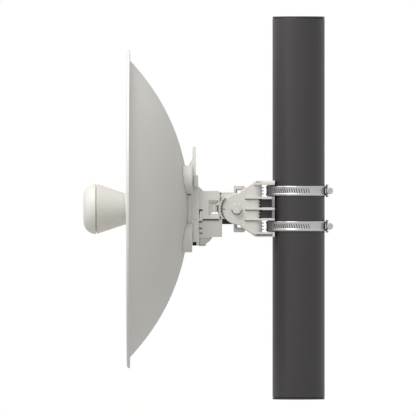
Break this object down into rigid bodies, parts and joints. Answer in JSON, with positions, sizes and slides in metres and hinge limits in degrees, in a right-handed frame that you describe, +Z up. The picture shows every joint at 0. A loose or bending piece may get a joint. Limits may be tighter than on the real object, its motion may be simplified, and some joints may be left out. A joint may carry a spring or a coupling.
{
  "type": "small dish antenna on a pole stub",
  "caption": "Small parabolic dish antenna with a front feed, tilting on a pole bracket that two worm-drive clamps hold to an upright steel tube.",
  "frame": {"origin": "centre of the flat foot of the pole stub, on the pole's axis", "axes": "+Z up along the pole, the dish faces -X, +Y to the far side; the tilt bolt lies along Y"},
  "size_m": [0.3291, 0.42, 0.5045],
  "materials": {
    "pale_plastic": "fine matte moulded plastic, light warm grey",
    "white_plastic": "smooth matte moulded plastic, warm white",
    "painted_sheet": "powder-coated aluminium sheet, light warm grey",
    "dark_rubber": "dull black rubber",
    "steel": "bright stainless and zinc-plated steel",
    "pole_paint": "dark grey satin paint on steel tube"
  },
  "bodies": {
    "pole": {"pole_tube": "pole_paint", "pole_foot_plug": "dark_rubber", "pole_top_plug": "dark_rubber"},
    "bracket": {"pole_bracket": "pale_plastic", "jaw_pad_upper": "dark_rubber", "jaw_pad_lower": "dark_rubber", "clamp_band_upper": "steel", "clamp_band_lower": "steel", "clamp_housing_upper": "steel", "clamp_housing_lower": "steel", "clamp_screw_upper": "steel", "clamp_screw_lower": "steel", "pivot_bolt": "steel", "pivot_washer": "steel", "pivot_nut": "steel"},
    "head": {"tilt_arm": "pale_plastic", "arm_liner": "dark_rubber", "housing_block": "pale_plastic", "window_latch": "pale_plastic", "port_cover": "pale_plastic", "cable_outlet": "pale_plastic", "cable_grommet": "dark_rubber", "rear_plate": "pale_plastic", "hub_seal": "dark_rubber", "lock_tab": "white_plastic", "lock_boss_near": "pale_plastic", "lock_boss_far": "pale_plastic", "hub_plate": "pale_plastic", "reflector": "painted_sheet", "feed_collar": "pale_plastic", "feed_neck": "pale_plastic", "feed_cone": "pale_plastic", "feed_cap": "pale_plastic"}
  },
  "joints": [
    {"name": "azimuth_swivel", "type": "hinge", "parent": "pole", "child": "bracket", "pos_m": [0, 0, 0.251], "axis": [0, 0, 1], "continuous": true},
    {"name": "elevation_tilt", "type": "hinge", "parent": "bracket", "child": "head", "pos_m": [-0.0816, 0, 0.251], "axis": [0, 1, 0], "range_deg": [-20, 20]}
  ]
}
